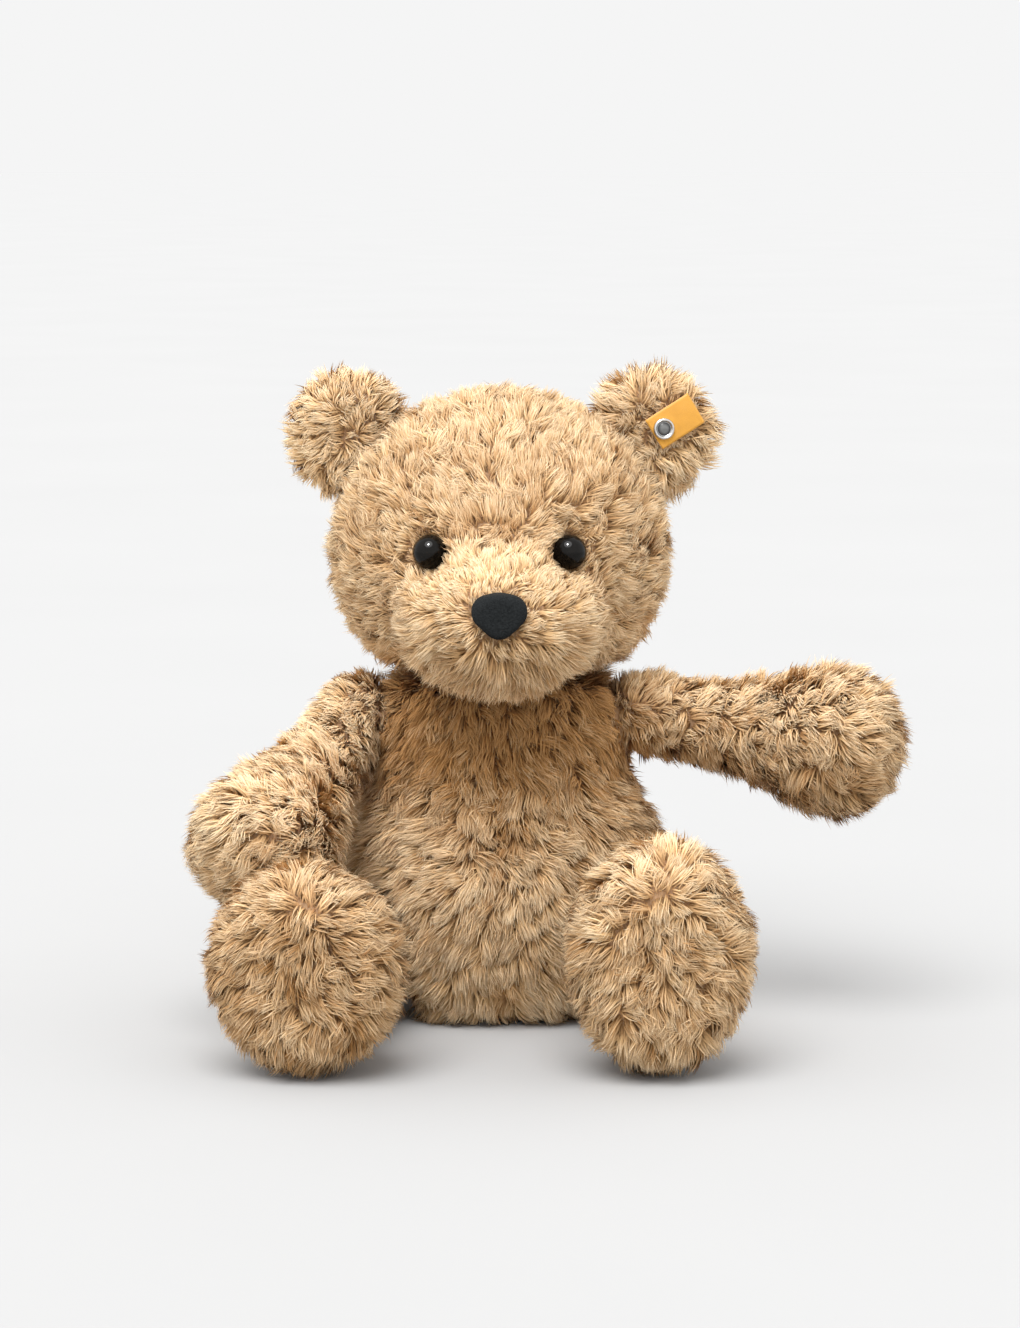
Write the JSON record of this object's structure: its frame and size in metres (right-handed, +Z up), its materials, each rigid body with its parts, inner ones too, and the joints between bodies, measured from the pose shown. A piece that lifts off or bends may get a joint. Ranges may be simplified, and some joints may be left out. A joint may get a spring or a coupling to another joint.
{
  "type": "jointed teddy bear",
  "caption": "Sitting plush teddy bear with a turning head, swivelling and lifting arms and swinging legs on disc joints.",
  "frame": {"origin": "middle of the torso's underside, on the surface that the bear sits on", "axes": "+Z up, the face looks along -Y, +X is the bear's own left"},
  "size_m": [0.3107, 0.2261, 0.281],
  "materials": {
    "plush": "shaggy",
    "stuffing": "fibrous",
    "eye": "glossy",
    "nose": "flocked",
    "tag": "woven",
    "button_metal": "polished",
    "disc": "hardboard",
    "washer": "moulded",
    "steel": "zinc plated"
  },
  "bodies": {
    "torso": {"torso_base": "plush", "torso_front_left": "plush", "torso_front_right": "plush", "torso_back_left": "plush", "torso_back_right": "plush", "torso_stuffing": "stuffing", "neck_torso_disc": "disc", "neck_pin": "steel", "neck_nut": "steel", "shoulder_torso_disc_left": "disc", "shoulder_torso_disc_right": "disc", "hip_torso_disc_left": "disc", "hip_torso_disc_right": "disc", "hip_pin_left": "steel", "hip_pin_right": "steel", "hip_nut_left": "steel", "hip_nut_right": "steel"},
    "head": {"head_side_left": "plush", "head_side_right": "plush", "head_gusset": "plush", "muzzle_cover": "plush", "head_stuffing": "stuffing", "neck_moving_disc": "disc", "eye_left": "eye", "eye_right": "eye", "eye_washers": "washer", "nose": "nose", "nose_washer": "washer", "ear_front_left": "plush", "ear_front_right": "plush", "ear_back_left": "plush", "ear_back_right": "plush", "ear_button": "button_metal", "ear_tag": "tag"},
    "left_shoulder_link": {"shoulder_link_left": "steel", "shoulder_nut_left": "steel", "shoulder_cross_pin_left": "steel"},
    "left_arm": {"arm_outer_left": "plush", "arm_inner_left": "plush", "arm_stuffing_left": "stuffing", "arm_disc_left": "disc"},
    "left_leg": {"leg_cover_left": "plush", "foot_cover_left": "plush", "foot_sole_left": "plush", "leg_stuffing_left": "stuffing", "hip_moving_disc_left": "disc"},
    "right_shoulder_link": {"shoulder_link_right": "steel", "shoulder_nut_right": "steel", "shoulder_cross_pin_right": "steel"},
    "right_arm": {"arm_outer_right": "plush", "arm_inner_right": "plush", "arm_stuffing_right": "stuffing", "arm_disc_right": "disc"},
    "right_leg": {"leg_cover_right": "plush", "foot_cover_right": "plush", "foot_sole_right": "plush", "leg_stuffing_right": "stuffing", "hip_moving_disc_right": "disc"}
  },
  "joints": [
    {"name": "head_turn", "type": "hinge", "parent": "torso", "child": "head", "pos_m": [0, 0, 0.152], "axis": [0, 0, 1], "range_deg": [-35, 35]},
    {"name": "left_shoulder_swivel", "type": "hinge", "parent": "torso", "child": "left_shoulder_link", "pos_m": [0.062, -0.003, 0.131], "axis": [-1, 0, 0], "range_deg": [-15, 60]},
    {"name": "left_arm_lift", "type": "hinge", "parent": "left_shoulder_link", "child": "left_arm", "pos_m": [0.062, -0.003, 0.131], "axis": [0, -0.5087, 0.8609], "range_deg": [-42, 8]},
    {"name": "right_shoulder_swivel", "type": "hinge", "parent": "torso", "child": "right_shoulder_link", "pos_m": [-0.062, -0.003, 0.131], "axis": [-1, 0, 0], "range_deg": [-1, 60]},
    {"name": "right_arm_lift", "type": "hinge", "parent": "right_shoulder_link", "child": "right_arm", "pos_m": [-0.062, -0.003, 0.131], "axis": [0, 0.6035, -0.7973], "range_deg": [-1, 50]},
    {"name": "left_hip_swing", "type": "hinge", "parent": "torso", "child": "left_leg", "pos_m": [0.056, -0.02, 0.028], "axis": [-0.9962, -0.0872, 0], "range_deg": [-80, 1]},
    {"name": "right_hip_swing", "type": "hinge", "parent": "torso", "child": "right_leg", "pos_m": [-0.056, -0.02, 0.028], "axis": [-0.9789, 0.2045, 0], "range_deg": [-80, 1]}
  ]
}
